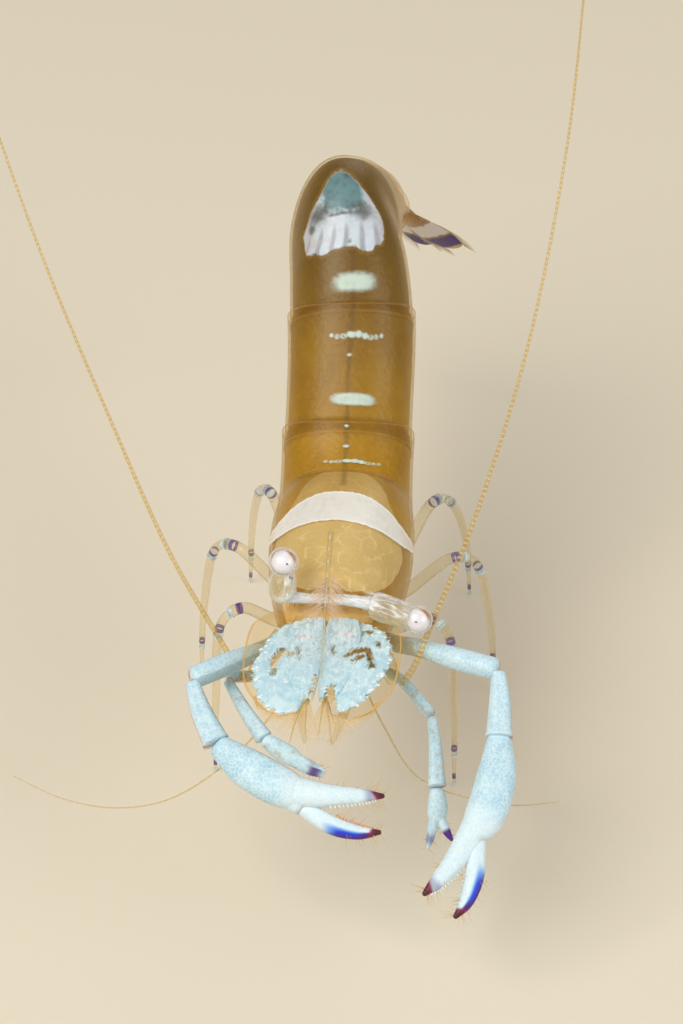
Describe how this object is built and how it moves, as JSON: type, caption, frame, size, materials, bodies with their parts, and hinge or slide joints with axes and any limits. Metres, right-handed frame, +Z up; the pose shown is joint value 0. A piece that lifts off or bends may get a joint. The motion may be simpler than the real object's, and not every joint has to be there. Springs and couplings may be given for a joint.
{
  "type": "cleaner shrimp",
  "caption": "Cleaner shrimp with a clear humped body marked in white, blue-white claws held out in front, stalked eyes and long feelers swept back, standing on its walking legs.",
  "frame": {"origin": "on the floor, under the middle of the animal's bounding box", "axes": "+Z up; the head faces -Y and the tail lies towards +Y; +X is the animal's own left side"},
  "size_m": [0.0168, 0.0242, 0.0191],
  "materials": {
    "body_shell": "clear amber-brown shell, gloss, with white marks",
    "clear_limb": "clear shell, gloss",
    "claw": "blue-white shell, satin, violet and crimson at the finger tips",
    "scale": "blue-white blades with a clear golden rim",
    "tail_fan": "clear blades with white and violet bands",
    "eye": "pearly white, high gloss",
    "feeler": "clear gold, ringed"
  },
  "bodies": {
    "root": {"carapace": "body_shell", "rostrum": "body_shell", "abdomen_1": "body_shell", "abdomen_2": "body_shell", "abdomen_3": "body_shell", "abdomen_4": "body_shell", "abdomen_5": "body_shell", "abdomen_6": "body_shell", "telson": "tail_fan", "tail_inner_left": "tail_fan", "tail_outer_left": "tail_fan", "eye_left": "eye", "eyestalk_left": "claw", "antennule_left": "scale", "antenna_scale_left": "scale", "antenna_base_left": "clear_limb", "antenna_left": "feeler", "maxilliped_left": "clear_limb", "claw_palm_left": "claw", "claw_finger_left": "claw", "claw_wrist_left": "claw", "claw_arm_left": "claw", "picker_claw_left": "claw", "picker_wrist_left": "claw", "picker_arm_left": "clear_limb", "leg_3_left": "clear_limb", "leg_4_left": "clear_limb", "leg_5_left": "clear_limb", "swimmeret_1_left": "clear_limb", "swimmeret_2_left": "clear_limb", "swimmeret_3_left": "clear_limb", "swimmeret_4_left": "clear_limb", "swimmeret_5_left": "clear_limb", "tail_inner_right": "tail_fan", "tail_outer_right": "tail_fan", "eye_right": "eye", "eyestalk_right": "claw", "antennule_right": "scale", "antenna_scale_right": "scale", "antenna_base_right": "clear_limb", "antenna_right": "feeler", "maxilliped_right": "clear_limb", "claw_palm_right": "claw", "claw_finger_right": "claw", "claw_wrist_right": "claw", "claw_arm_right": "claw", "picker_claw_right": "claw", "picker_wrist_right": "claw", "picker_arm_right": "clear_limb", "leg_3_right": "clear_limb", "leg_4_right": "clear_limb", "leg_5_right": "clear_limb", "swimmeret_1_right": "clear_limb", "swimmeret_2_right": "clear_limb", "swimmeret_3_right": "clear_limb", "swimmeret_4_right": "clear_limb", "swimmeret_5_right": "clear_limb"}
  },
  "joints": []
}
